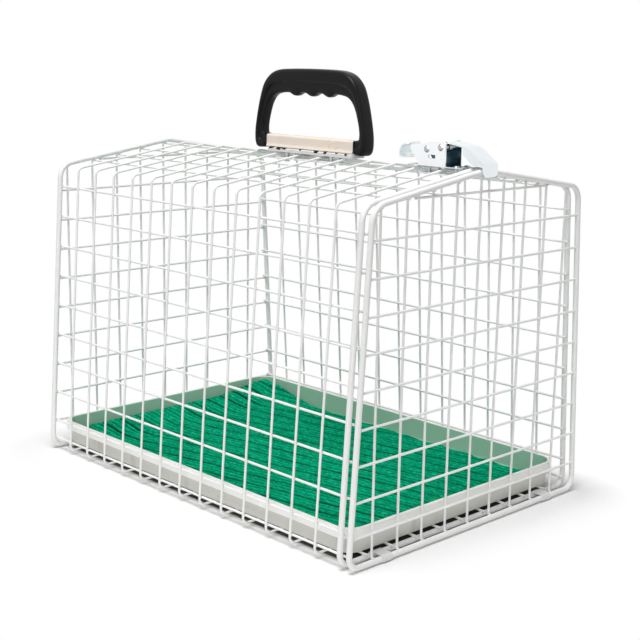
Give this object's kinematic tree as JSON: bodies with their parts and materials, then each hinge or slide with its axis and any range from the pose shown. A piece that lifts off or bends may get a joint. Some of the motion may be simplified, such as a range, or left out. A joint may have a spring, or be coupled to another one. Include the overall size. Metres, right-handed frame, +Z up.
{
  "type": "metal pet transport crate",
  "caption": "Coated wire pet carrier with a fold-down front door, spring latch, folding carry handle, lift-out tray and loose floor mat.",
  "frame": {"origin": "centre of the crate's bounding box at the height of its lowest point", "axes": "+Z up, +Y from the door to the back panel, +X to the right of someone who looks in at the door"},
  "size_m": [0.2588, 0.3748, 0.3314],
  "materials": {
    "coated_wire": "gloss",
    "clip_metal": "satin",
    "tray_plastic": "satin",
    "mat_textile": "matte",
    "latch_plate": "plated",
    "rivet_steel": "satin",
    "spring_steel": "satin",
    "handle_plastic": "satin",
    "rail_plastic": "matte",
    "wrap_film": "matte",
    "screw_steel": "satin"
  },
  "bodies": {
    "cage": {"front_frame": "coated_wire", "back_frame": "coated_wire", "hoop_wires": "coated_wire", "left_side_wires": "coated_wire", "right_side_wires": "coated_wire", "roof_wires": "coated_wire", "floor_wires": "coated_wire", "back_upright_wires": "coated_wire", "back_cross_wires": "coated_wire", "hinge_clip_left": "clip_metal", "hinge_clip_right": "clip_metal", "latch_housing": "latch_plate", "latch_pivot_rivet": "rivet_steel", "latch_spring_rivet": "rivet_steel", "latch_spring": "spring_steel", "latch_clamp_plate": "latch_plate", "latch_clamp_rivets": "rivet_steel", "handle_rail": "rail_plastic", "handle_pin": "rivet_steel", "rail_wrap": "wrap_film", "rail_clamp_plate": "rail_plastic", "rail_clamp_screws": "screw_steel"},
    "door": {"door_frame": "coated_wire", "door_upright_wires": "coated_wire", "door_cross_wires": "coated_wire"},
    "lever": {"latch_lever": "latch_plate"},
    "handle": {"handle_grip": "handle_plastic"},
    "tray": {"tray": "tray_plastic"},
    "mat": {"mat": "mat_textile"}
  },
  "joints": [
    {"name": "door_hinge", "type": "hinge", "parent": "cage", "child": "door", "pos_m": [0, -0.183, 0.00286], "axis": [1, 0, 0], "range_deg": [0, 90]},
    {"name": "latch_press", "type": "hinge", "parent": "cage", "child": "lever", "pos_m": [0, -0.136, 0.2767], "axis": [-1, 0, 0], "range_deg": [0, 11], "stiffness_Nm_per_rad": 0.05, "springref_deg": -20.05},
    {"name": "handle_fold", "type": "hinge", "parent": "cage", "child": "handle", "pos_m": [0, -0.00985, 0.2735], "axis": [0, 1, 0], "range_deg": [-90, 90]},
    {"name": "tray_slide", "type": "slide", "parent": "cage", "child": "tray", "axis": [0, -1, 0], "range_m": [0, 0.0045]},
    {"name": "mat_lift", "type": "slide", "parent": "tray", "child": "mat", "axis": [0, 0, 1], "range_m": [0, 0.06]}
  ]
}
